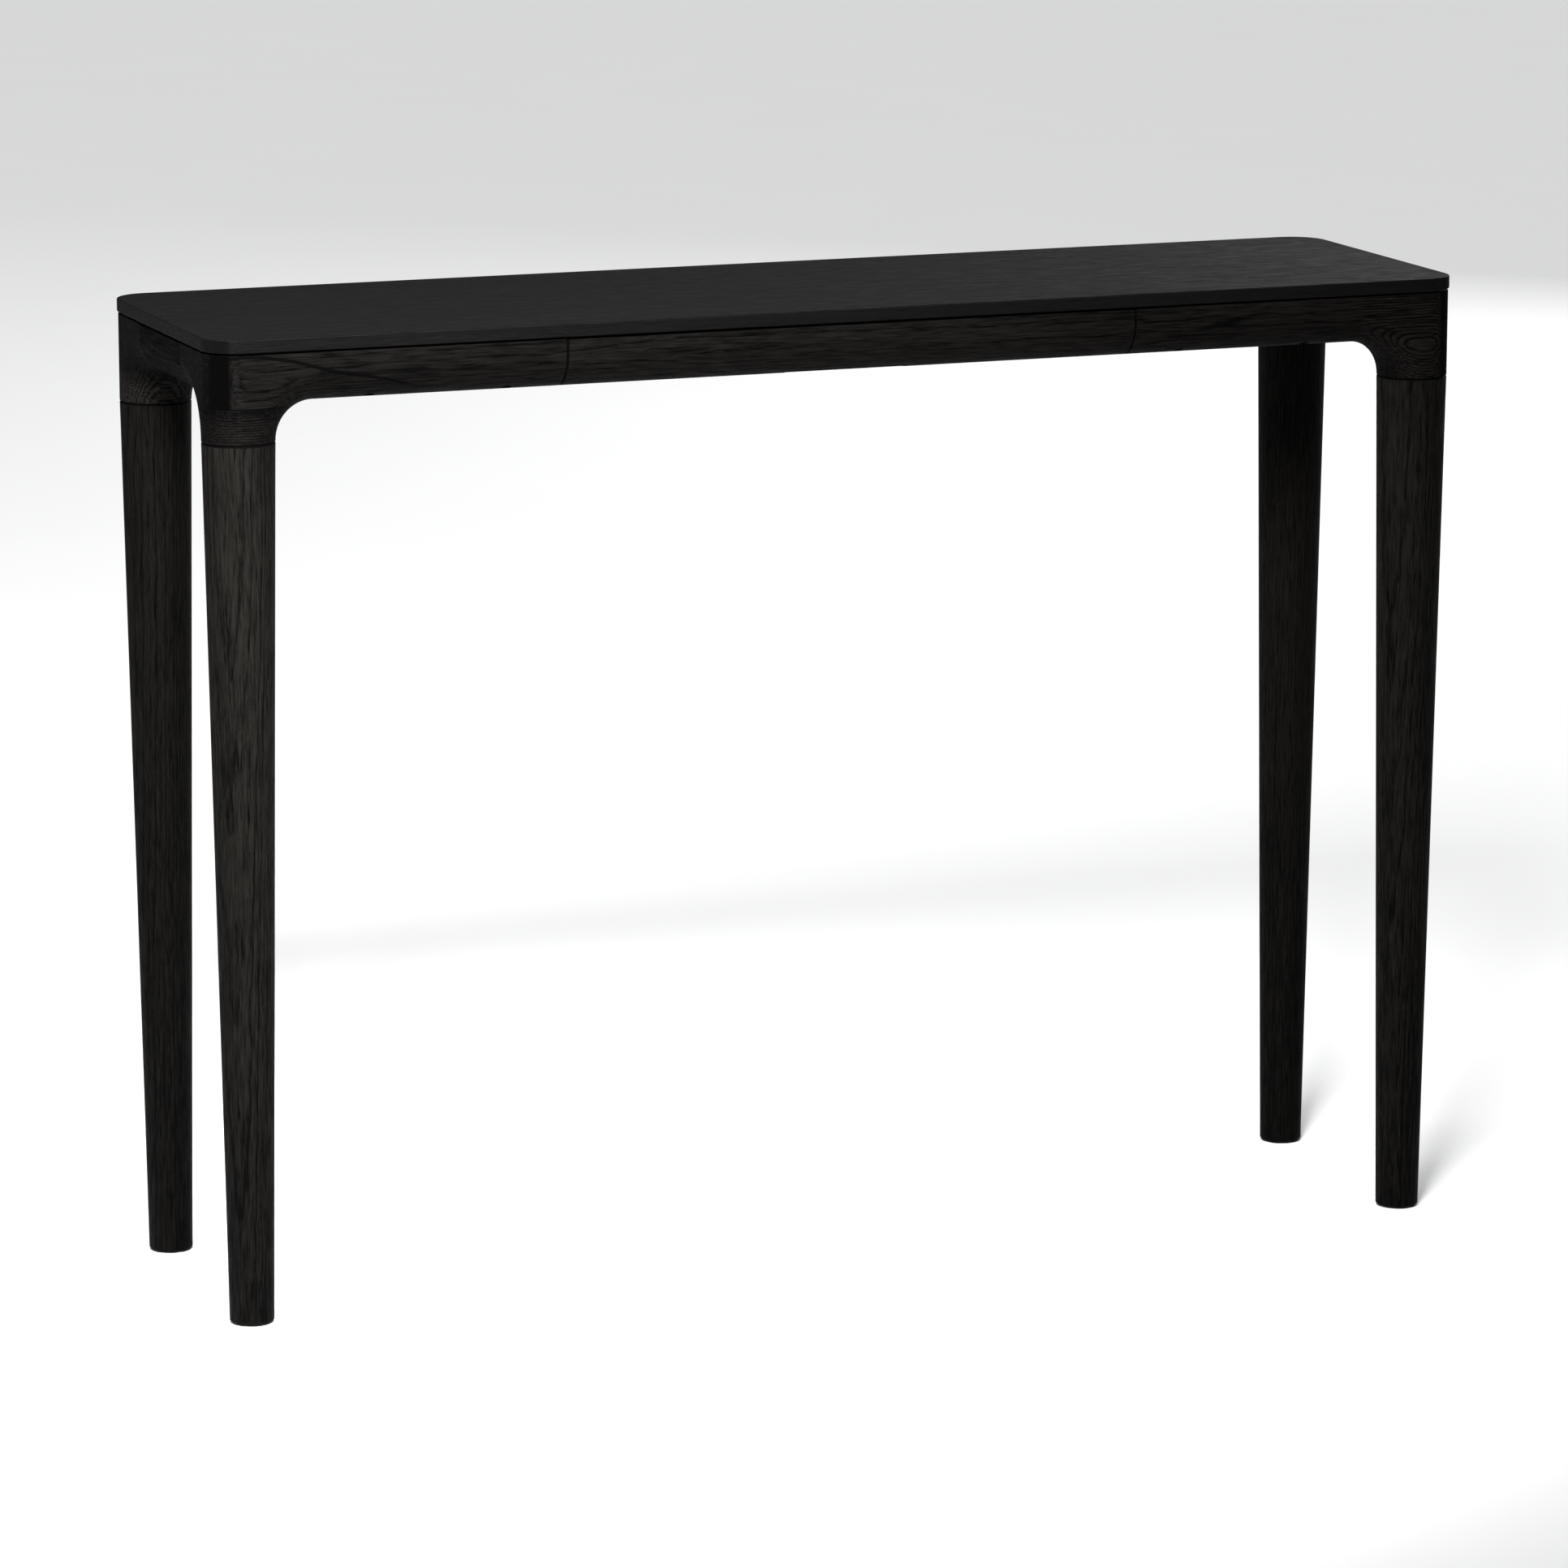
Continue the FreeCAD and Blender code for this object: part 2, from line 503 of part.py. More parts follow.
def corner():
    """The front right corner above the leg: two bent arms on a round core, with its holes."""
    x, y = LEG_X, f"(0 - {LEG_Y})"
    core = primitive("Cylinder", (x, y, KNEE_Z), Radius=LEG_RADIUS,
                     Height=f"{RAIL_TOP} - {KNEE_Z}")
    foot = primitive("Cone", (x, y, JOINT_Z), Radius1=f"{LEG_RADIUS} - {LEG_JOINT_CHAMFER}",
                     Radius2=LEG_RADIUS, Height=LEG_JOINT_CHAMFER)
    along = knee_arm(ALONG_MINUS_Y, (ARM_X, y, KNEE_Z),
                     (ARM_X, f"{y} - {LEG_RADIUS}", KNEE_Z),
                     (x, f"{y} + {LEG_RADIUS}", RAIL_TOP),
                     (ARM_X, f"{y} + {LEG_RADIUS} + {OVERRUN}", KNEE_Z))
    across = knee_arm(ALONG_X, (x, f"0 - {ARM_Y}", KNEE_Z),
                      (f"{x} - {LEG_RADIUS}", y, KNEE_Z),
                      (f"{x} + {LEG_RADIUS}", f"0 - {ARM_Y}", RAIL_TOP),
                      (f"{x} - {LEG_RADIUS} - {OVERRUN}", f"0 - {ARM_Y}", KNEE_Z))
    solid = doc.addObject("Part::MultiFuse", "fuse")
    solid.Shapes = [core, foot, along, across]
    solid.Refine = True
    insert_hole = primitive("Cylinder", (x, y, f"{JOINT_Z} - {OVERRUN}"),
                            Radius=f"{INSERT_DIAMETER} / 2",
                            Height=f"{INSERT_LENGTH} + {OVERRUN}")
    bolt_hole = primitive("Cylinder", (x, y, f"{JOINT_Z} + {INSERT_LENGTH}"),
                          Radius=f"{BOLT_DIAMETER} / 2 + {BOLT_CLEARANCE}",
                          Height=f"{BOLT_PAST_INSERT} + {BOLT_END_ROOM}")
    return cut(solid, gather([insert_hole, bolt_hole, rail_dowels, knee_dowels]))


def corner_waste(low, high):
    """A box that clears away the part of the front right corner between two heights."""
    return block((f"{ARM_X} - {OVERRUN}", f"0 - {DEPTH} / 2 - {OVERRUN}", low),
                 (f"{WIDTH} / 2 + {OVERRUN}", f"{OVERRUN} - {ARM_Y}", high))


whole_corner = corner()


def corner_block():
    """The upper layer of the corner, level with the rails."""
    return cut(whole_corner, corner_waste(f"{JOINT_Z} - {OVERRUN}", KNEE_BLOCK_TOP))


def knee_block():
    """The lower layer of the corner, glued under the corner block and bolted to the leg."""
    return cut(whole_corner, corner_waste(KNEE_BLOCK_TOP, f"{RAIL_TOP} + {OVERRUN}"))


for name, build in (("leg", leg), ("knee_block", knee_block), ("corner_block", corner_block)):
    front_right = node(build(), f"{name}_front_right")
    node(mirrored(front_right, Vector(1, 0, 0)), f"{name}_front_left")
    rear_right = node(mirrored(front_right, Vector(0, 1, 0)), f"{name}_rear_right")
    node(mirrored(rear_right, Vector(1, 0, 0)), f"{name}_rear_left")

pad_radius = f"{PAD_DIAMETER} / 2"
foot_pad = turned([("0", "0"), (f"{pad_radius} - {PAD_STANDOUT}", "0"),
                   (pad_radius, PAD_STANDOUT), (pad_radius, PAD_THICKNESS),
                   ("0", PAD_THICKNESS)])
node(copies(foot_pad, [((x, y, "0"), UPRIGHT) for x, y in leg_axes]), "foot_pads")


# ---------------------------------------------------------------- apron rails

def rail_bar(length, height, at, turn):
    """A rail with its outer face on y = 0 and a quarter-round along its lower outer edge."""
    corners = [(LEG_RADIUS, "0"), ("0", LEG_RADIUS), ("0", height),
               (RAIL_THICKNESS, height), (RAIL_THICKNESS, "0")]
    body, pad = padded("YZ_Plane", corners, length, {0: (LEG_RADIUS, LEG_RADIUS)},
                       at, FreeCAD.Rotation(Vector(0, 0, 1), turn))
    top = number(height)
    rounded(body, pad, RAIL_EDGE_ROUND,
            lambda box: level(box, top) and abs(box.YMax) < TOLERANCE)
    return body


rail_drills = gather([rail_dowels, bearer_dowels, top_screw_drills])
front_rail = rail_bar(f"{ARM_X} - {OPENING_X}", RAIL_HEIGHT,
                      (OPENING_X, f"0 - {FRAME_Y}", RAIL_BOTTOM), 0)
rear_rail = rail_bar(f"2 * {ARM_X}", RAIL_HEIGHT, (ARM_X, FRAME_Y, RAIL_BOTTOM), 180)
side_rail = rail_bar(f"2 * {ARM_Y}", RAIL_HEIGHT, (FRAME_X, f"0 - {ARM_Y}", RAIL_BOTTOM), 90)
pair(lambda: cut(front_rail, rail_drills), "front_rail")
node(cut(rear_rail, rail_drills), "rear_rail")
pair(lambda: cut(side_rail, rail_drills), "side_rail")


# ---------------------------------------------------------------- drawer slides

def channel(mouth, back, half_height, steel, length, middle):
    """A C-shaped channel along Y. mouth and back are distances from the bearer."""
    sign = 1 if number(back) > number(mouth) else -1
    web = f"({back} - {sign} * {steel})"
    inner = f"({half_height} - {steel})"
    corners = [(back, half_height), (mouth, half_height), (mouth, inner), (web, inner),
               (web, f"0 - {inner}"), (mouth, f"0 - {inner}"), (mouth, f"0 - {half_height}"),
               (back, f"0 - {half_height}")]
    corners = [(f"0 - {x}", z) for x, z in corners]
    body, _ = padded("XZ_Plane", corners, length,
                     at=(OPENING_X, f"{middle} + {length} / 2", BOX_MIDDLE))
    return body


def slide_screws(start, towards):
    """Countersunk screws through a slide member, at three places on each side."""
    shank = f"{SLIDE_SCREW_DIAMETER} / 2"
    head = f"{SLIDE_SCREW_HEAD_DIAMETER} / 2"
    screw = turned([("0", "0"), (head, "0"), (shank, SLIDE_SCREW_HEAD_HEIGHT),
                    (shank, f"{SLIDE_SCREW_LENGTH} - {SLIDE_SCREW_POINT}"),
                    ("0", SLIDE_SCREW_LENGTH)])
    spots = []
    for x_side in (LEFT, RIGHT):
        rotation = FreeCAD.Rotation(Vector(0, 1, 0), 90 * x_side * towards)
        for step in spread(3):
            y = f"{SLIDE_MIDDLE} + {step} * ({SLIDE_LENGTH} / 2 - {SLIDE_SCREW_INSET})"
            spots.append(((f"{x_side} * {start}", y, BOX_MIDDLE), rotation))
    return copies(screw, spots)


bearer_screws = node(slide_screws(f"({OPENING_X} - {SLIDE_STEEL})", 1), "slide_bearer_screws")
drawer_screws = node(slide_screws(f"({BOX_X} + {SLIDE_STEEL})", -1), "slide_drawer_screws")

slide_half = f"({SLIDE_HEIGHT} / 2)"
inner_half = f"({SLIDE_INNER_HEIGHT} / 2)"
outer = channel(SLIDE_OUTER_REACH, "0", slide_half, SLIDE_STEEL, SLIDE_LENGTH, SLIDE_MIDDLE)
pair(lambda: cut(outer, bearer_screws), "slide_outer")
inner = channel(f"({SLIDE_SPACE} - {SLIDE_INNER_REACH})", SLIDE_SPACE, inner_half, SLIDE_STEEL,
                SLIDE_LENGTH, SLIDE_MIDDLE)
pair(lambda: cut(inner, drawer_screws), "slide_inner")


def ball_cage():
    """A cage of thin steel that holds two rows of balls between the slide's members."""
    back = f"({SLIDE_STEEL} + {CAGE_CLEARANCE})"
    cage = channel(f"({back} + {CAGE_REACH})", back, f"({RACE_Z} + {CAGE_STEEL} / 2)",
                   CAGE_STEEL, CAGE_LENGTH, SLIDE_MIDDLE)
    ball = primitive("Sphere", Radius=BALL_RADIUS)
    pocket = primitive("Cylinder", Radius=f"{BALL_RADIUS} + {BALL_POCKET_CLEARANCE}",
                       Height=f"{CAGE_STEEL} + 2 * {OVERRUN}")
    balls, pockets = [], []
    for z_side in (-1, 1):
        for step in spread(BALLS_IN_ROW):
            x = f"{OPENING_X} - {SLIDE_SPACE} / 2"
            y = f"{SLIDE_MIDDLE} + {step} * {BALL_SPACING}"
            z = f"{BOX_MIDDLE} + {z_side} * {RACE_Z}"
            balls.append(((x, y, z), UPRIGHT))
            pockets.append(((x, y, f"{z} - {CAGE_STEEL} / 2 - {OVERRUN}"), UPRIGHT))
    return gather([cut(cage, copies(pocket, pockets)), copies(ball, balls)])


pair(ball_cage, "ball_cage")

bearer = block((OPENING_X, f"0 - {INSIDE_Y}", f"{RAIL_BOTTOM} + {BEARER_RISE}"),
               (f"{OPENING_X} + {BEARER_THICKNESS}", INSIDE_Y, RAIL_TOP))
pair(lambda: cut(bearer, gather([bearer_dowels, bearer_screws])), "runner_bearer")


# ---------------------------------------------------------------- drawer

inner_front_y = f"({DRAWER_INNER_FRONT_WALL} - {INSIDE_Y})"
back_front_y = f"({BOX_BACK_Y} - {DRAWER_WALL})"
groove_z = f"({BOX_BOTTOM} + {DRAWER_BOTTOM_RISE})"

drawer_dowel_places = []
for x_side in (LEFT, RIGHT):
    for y in (f"{inner_front_y} - {DRAWER_INNER_FRONT_WALL} / 2",
              f"{BOX_BACK_Y} - {DRAWER_WALL} / 2"):
        for step in spread(2):
            reach = f"({BOX_INSIDE_X} + {DRAWER_DOWEL_IN_SIDE})"
            start = f"0 - {reach}" if x_side == LEFT else f"{reach} - {DRAWER_DOWEL_LENGTH}"
            z = f"{BOX_MIDDLE} + {DRAWER_BOTTOM_RISE} + {step} * {DRAWER_DOWEL_SPACING}"
            drawer_dowel_places.append(((start, y, z), ALONG_X))
drawer_dowel = peg(DRAWER_DOWEL_DIAMETER, DRAWER_DOWEL_LENGTH, DOWEL_CHAMFER)
drawer_dowels = node(copies(drawer_dowel, drawer_dowel_places), "drawer_dowels")

front_screw_places = []
for x_side in (LEFT, RIGHT):
    for from_end in (FRONT_SCREW_INSET, f"({FRONT_SCREW_INSET} + {FRONT_SCREW_SPACING})"):
        x = f"{x_side} * ({BOX_INSIDE_X} - {from_end})"
        at = (x, f"{inner_front_y} - {FRONT_SCREW_BORE_DEPTH}", BOX_MIDDLE)
        front_screw_places.append((at, ALONG_MINUS_Y))
node(copies(pan_screw(FRONT_SCREW_LENGTH), front_screw_places), "drawer_front_screws")
front_drill = pan_screw_drill(FRONT_SCREW_LENGTH, f"({FRONT_SCREW_BORE_DEPTH} + {OVERRUN})")
front_screw_drills = copies(front_drill, front_screw_places)


def grip_slot():
    """The finger groove: a slot with round ends under the drawer front."""
    end = f"({GRIP_WIDTH} / 2)"
    middle_y = f"(0 - {INSIDE_Y} - {GRIP_FROM_BACK} - {end})"
    half = f"({GRIP_LENGTH} / 2 - {end})"
    low = f"{RAIL_BOTTOM} - {OVERRUN}"
    high = f"{RAIL_BOTTOM} + {GRIP_DEPTH}"
    straight = block((f"0 - {half}", f"{middle_y} - {end}", low),
                     (half, f"{middle_y} + {end}", high))
    rounds = [primitive("Cylinder", (f"{x_side} * {half}", middle_y, low), Radius=end,
                        Height=f"{GRIP_DEPTH} + {OVERRUN}") for x_side in (LEFT, RIGHT)]
    slot = doc.addObject("Part::MultiFuse", "slot")
    slot.Shapes = [straight] + rounds
    slot.Refine = True
    return slot


front_bar = rail_bar(DRAWER_FRONT_WIDTH, f"({RAIL_HEIGHT} - {DRAWER_DROP})",
                     (f"0 - {DRAWER_FRONT_WIDTH} / 2", f"0 - {FRAME_Y}", RAIL_BOTTOM), 0)
node(cut(front_bar, gather([grip_slot(), front_screw_drills])), "drawer_front")

groove = block((f"0 - {BOX_INSIDE_X} - {DRAWER_GROOVE_DEPTH}",
                f"{inner_front_y} - {DRAWER_GROOVE_DEPTH}", groove_z),
               (f"{BOX_INSIDE_X} + {DRAWER_GROOVE_DEPTH}",
                f"{back_front_y} + {DRAWER_GROOVE_DEPTH}", f"{groove_z} + {DRAWER_BOTTOM_THICKNESS}"))
panel_reach = f"({DRAWER_GROOVE_DEPTH} - {DRAWER_BOTTOM_FIT})"
node(block((f"0 - {BOX_INSIDE_X} - {panel_reach}", f"{inner_front_y} - {panel_reach}", groove_z),
           (f"{BOX_INSIDE_X} + {panel_reach}", f"{back_front_y} + {panel_reach}",
            f"{groove_z} + {DRAWER_BOTTOM_THICKNESS}")), "drawer_bottom")

inner_front = block((f"0 - {BOX_INSIDE_X}", f"0 - {INSIDE_Y}", BOX_BOTTOM),
                    (BOX_INSIDE_X, inner_front_y, BOX_TOP))
back = block((f"0 - {BOX_INSIDE_X}", back_front_y, BOX_BOTTOM),
             (BOX_INSIDE_X, BOX_BACK_Y, BOX_TOP))
side = block((BOX_INSIDE_X, f"0 - {INSIDE_Y}", BOX_BOTTOM), (BOX_X, BOX_BACK_Y, BOX_TOP))
box_drills = gather([drawer_dowels, front_screw_drills, drawer_screws])
node(cut(cut(inner_front, groove), box_drills), "drawer_inner_front")
node(cut(cut(back, groove), box_drills), "drawer_back")
pair(lambda: cut(cut(side, groove), box_drills), "drawer_side")

bumper = peg(BUMPER_DIAMETER, f"({DRAWER_BACK_SPACE} - {BUMPER_GAP})", DOWEL_CHAMFER)
node(copies(bumper, [((f"{x_side} * {BUMPER_FROM_MIDDLE}", INSIDE_Y, BOX_MIDDLE), ALONG_MINUS_Y)
                     for x_side in (LEFT, RIGHT)]), "drawer_bumpers")


# ---------------------------------------------------------------- checks and files

doc.recompute()
for item in doc.Objects:
    if "Invalid" in item.State or "Error" in item.State:
        raise RuntimeError(f"{item.Name} ({item.Label}) failed: {item.State}")
for item in nodes:
    shape = item.Shape
    if shape.isNull() or not shape.isValid() or not shape.Solids:
        raise RuntimeError(f"{item.Label} has no valid solid")
    print(f"{item.Label:28s} {len(shape.Solids):3d} solids {shape.Volume / 1000:10.2f} cm3")
for item in nodes:
    item.Shape.exportStep(f"parts/{item.Label}.step")
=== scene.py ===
"""Looks of the console table: black-stained oak, its hardware, a pale floor and soft studio light.

Lengths are in metres. X runs along the table, -Y is the front and Z is up.
"""
import math

import bpy
from mathutils import Matrix, Vector


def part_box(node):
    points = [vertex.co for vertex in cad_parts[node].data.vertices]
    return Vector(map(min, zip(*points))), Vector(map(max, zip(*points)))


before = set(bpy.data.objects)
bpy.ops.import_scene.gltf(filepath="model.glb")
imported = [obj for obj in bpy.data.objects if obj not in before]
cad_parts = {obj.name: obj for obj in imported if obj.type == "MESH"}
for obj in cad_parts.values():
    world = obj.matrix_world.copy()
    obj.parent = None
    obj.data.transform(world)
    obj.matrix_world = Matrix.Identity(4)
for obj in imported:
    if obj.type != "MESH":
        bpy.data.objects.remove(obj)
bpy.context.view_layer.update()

MM = 0.001
X, Y, Z = range(3)
AXES = {"x": (X, Y, Z), "y": (Y, X, Z), "z": (Z, X, Y)}  # along the grain, then the two across it


# ---------------------------------------------------------------- node helpers

class Graph:
    """Builds one material's node tree."""

    def __init__(self, name):
        self.material = bpy.data.materials.new(name)
        self.material.use_nodes = True
        self.tree = self.material.node_tree
        self.tree.nodes.clear()
        output = self.tree.nodes.new("ShaderNodeOutputMaterial")
        self.shader = self.tree.nodes.new("ShaderNodeBsdfPrincipled")
        self.tree.links.new(self.shader.outputs[0], output.inputs[0])
        self.texture = self.tree.nodes.new("ShaderNodeTexCoord")
        self.place = self.split(self.texture.outputs["Object"])

    def put(self, value, socket):
        """Set a socket to a number, a tuple or another node's output."""
        if isinstance(value, bpy.types.NodeSocket):
            self.tree.links.new(value, socket)
        else:
            socket.default_value = value

    def set(self, **sockets):
        """Set the shader's sockets by name, with _ for a space."""
        for name, value in sockets.items():
            self.put(value, self.shader.inputs[name.replace("_", " ")])

    def math(self, operation, *values, clamp=False):
        node = self.tree.nodes.new("ShaderNodeMath")
        node.operation = operation
        node.use_clamp = clamp
        for index, value in enumerate(values):
            self.put(value, node.inputs[index])
        return node.outputs[0]

    def plus(self, total, part, share=1.0):
        """total + part * share"""
        return self.math("MULTIPLY_ADD", part, share, total)

    def distance(self, value, other):
        return self.math("ABSOLUTE", self.math("SUBTRACT", value, other))

    def limit(self, value):
        """Keep a value within 0 to 1."""
        return self.math("MULTIPLY", value, 1.0, clamp=True)

    def span(self, value, low, high, to_low=0.0, to_high=1.0):
        """Map low..high smoothly to a new range."""
        node = self.tree.nodes.new("ShaderNodeMapRange")
        node.interpolation_type = "SMOOTHSTEP"
        for socket, number in zip(node.inputs, (value, low, high, to_low, to_high)):
            self.put(number, socket)
        return node.outputs[0]

    def vector(self, x, y, z):
        node = self.tree.nodes.new("ShaderNodeCombineXYZ")
        for socket, value in zip(node.inputs, (x, y, z)):
            self.put(value, socket)
        return node.outputs[0]

    def split(self, vector):
        node = self.tree.nodes.new("ShaderNodeSeparateXYZ")
        self.put(vector, node.inputs[0])
        return tuple(node.outputs)

    def length(self, vector):
        node = self.tree.nodes.new("ShaderNodeVectorMath")
        node.operation = "LENGTH"
        self.put(vector, node.inputs[0])
        return node.outputs["Value"]

    def scaled(self, scale):
        """The place on the object times one number, for an even noise."""
        node = self.tree.nodes.new("ShaderNodeMapping")
        self.put(self.texture.outputs["Object"], node.inputs[0])
        node.inputs["Scale"].default_value = (scale, scale, scale)
        return node.outputs[0]

    def stretched(self, grain, lengthwise, crosswise, shift=0.0):
        """The place scaled along the grain and across it, for a noise that follows the grain."""
        along, side, up = (self.place[axis] for axis in AXES[grain])
        return self.vector(self.math("MULTIPLY_ADD", along, lengthwise, shift),
                           self.math("MULTIPLY", side, crosswise),
                           self.math("MULTIPLY", up, crosswise))

    def noise(self, vector, detail, roughness=0.5):
        node = self.tree.nodes.new("ShaderNodeTexNoise")
        self.put(vector, node.inputs["Vector"])
        node.inputs["Scale"].default_value = 1.0
        node.inputs["Detail"].default_value = detail
        node.inputs["Roughness"].default_value = roughness
        return node.outputs["Fac"]

    def swing(self, vector, detail, roughness=0.5):
        """Noise centred on zero."""
        return self.math("SUBTRACT", self.noise(vector, detail, roughness), 0.5)

    def blend(self, factor, first, second):
        """Mix two colours, each of red, green and blue."""
        node = self.tree.nodes.new("ShaderNodeMix")
        node.data_type = "RGBA"
        self.put(factor, node.inputs["Factor"])
        self.put((*first, 1.0), node.inputs[6])
        self.put((*second, 1.0), node.inputs[7])
        return node.outputs[2]

    def bump(self, height, distance, strength):
        node = self.tree.nodes.new("ShaderNodeBump")
        node.inputs["Strength"].default_value = strength
        node.inputs["Distance"].default_value = distance
        self.put(height, node.inputs["Height"])
        self.put(node.outputs[0], self.shader.inputs["Normal"])


# ---------------------------------------------------------------- wood

OAK_LIGHT = (0.0230, 0.0203, 0.0182)
OAK_DARK = (0.0010, 0.0009, 0.0009)
LEG_LIGHT = (0.0250, 0.0222, 0.0185)
STAIN_LIGHT = (0.0260, 0.0226, 0.0200)
STAIN_DARK = (0.0040, 0.0034, 0.0030)
BEECH_LIGHT = (0.62, 0.42, 0.25)
BEECH_DARK = (0.36, 0.21, 0.11)

# Noises of the wood: cells per metre along the grain and across it, and a shift between them.
WARP = (2.5, 14, 0.0)
FINE_WARP = (18, 140, 3.1)
FIBRES = (38, 560, 1.3)
PORES = (64, 1050, 7.7)
PATCHES = (3.0, 11, 5.9)

# How many rings the two warps move the figure by, at most half of it either way.
WARP_RINGS = 3.0
FINE_WARP_RINGS = 0.9

# Parts of one ring: the open early wood rises at its start and fades out by its middle. Late wood
# is drawn this far from the middle.
EARLY_RISE = 0.08
EARLY_END = 0.5
LATE_WOOD = (0.32, 0.46)

# Where the pore noise starts and where it is a full pore, and the pores' share outside early wood.
PORE_EDGE = (0.55, 0.68)
PORE_SHARE = 0.4

# How much each feature darkens the wood, from 0 for the light colour to 1 for the dark one.
BASE_DEPTH = 0.4
FIBRE_DEPTH = -2.4
PATCH_DEPTH = 0.8
PORE_DEPTH = 0.55
YEAR_NOISE = (0.25, 0.7)
YEAR_DEPTH = (0.15, 0.6)

# How far a face has turned, to the fibres' ends, off the flat or round an upright corner, where
# its darkening starts and where it is full. The end grain's darkening is the wood's own, the upright
# edges' is painted shade and the corners' is partly painted shade.
END_TURN = (0.55, 0.9)
EDGE_TURN = (0.4, 0.9)
CORNER_TURN = (0.36, 0.52)
CORNER_RAGGED = 0.25

ROUGH_FIBRES = -0.7
ROUGH_PORES = 0.2
ROUGH_CORNER = 0.4

RELIEF_HEIGHT = 0.25 * MM
RELIEF_STRENGTH = 0.7
RELIEF_PORES = -1.0
RELIEF_EARLY = -0.3
RELIEF_FIBRES = 1.6

# How far the wood's own noise sways a drawn line, along the piece and across it.
LINE_SWAY = 4 * MM
LINE_SHIVER = 1.5 * MM


def ring_age(g, grain, pith, ring, warp, fine_warp):
    """Each point's distance from the pith, counted in rings."""
    across = [g.place[axis] for axis in AXES[grain][1:]]
    offsets = [g.math("SUBTRACT", value, centre) for value, centre in zip(across, pith)]
    age = g.math("DIVIDE", g.length(g.vector(0.0, *offsets)), ring)
    age = g.plus(age, warp, WARP_RINGS)
    return g.plus(age, fine_warp, FINE_WARP_RINGS)


def drawn_line(g, position, across, points, half_width):
    """1 on a thin line of the figure. Its points run along the piece as (position, across)."""
    fade_in, fade_out = 0.06, 0.9
    first, last = points[0][0], points[-1][0]
    low = min(point[1] for point in points)
    reach = max(point[1] for point in points) - low
    node = g.tree.nodes.new("ShaderNodeFloatCurve")
    curve = node.mapping.curves[0]
    for _ in points[2:]:
        curve.points.new(0.5, 0.5)
    for index, (where, height) in enumerate(points):
        curve.points[index].location = ((where - first) / (last - first), (height - low) / reach)
    node.mapping.update()
    share = g.math("DIVIDE", g.math("SUBTRACT", position, first), last - first)
    g.put(share, node.inputs["Value"])
    line = g.plus(low, node.outputs[0], reach)
    ends = g.math("MULTIPLY", g.span(share, 0.0, fade_in), g.span(share, fade_out, 1.0, 1.0, 0.0))
    off = g.distance(across, line)
    return g.math("MULTIPLY", ends, g.span(off, half_width / 3, half_width, 1.0, 0.0))


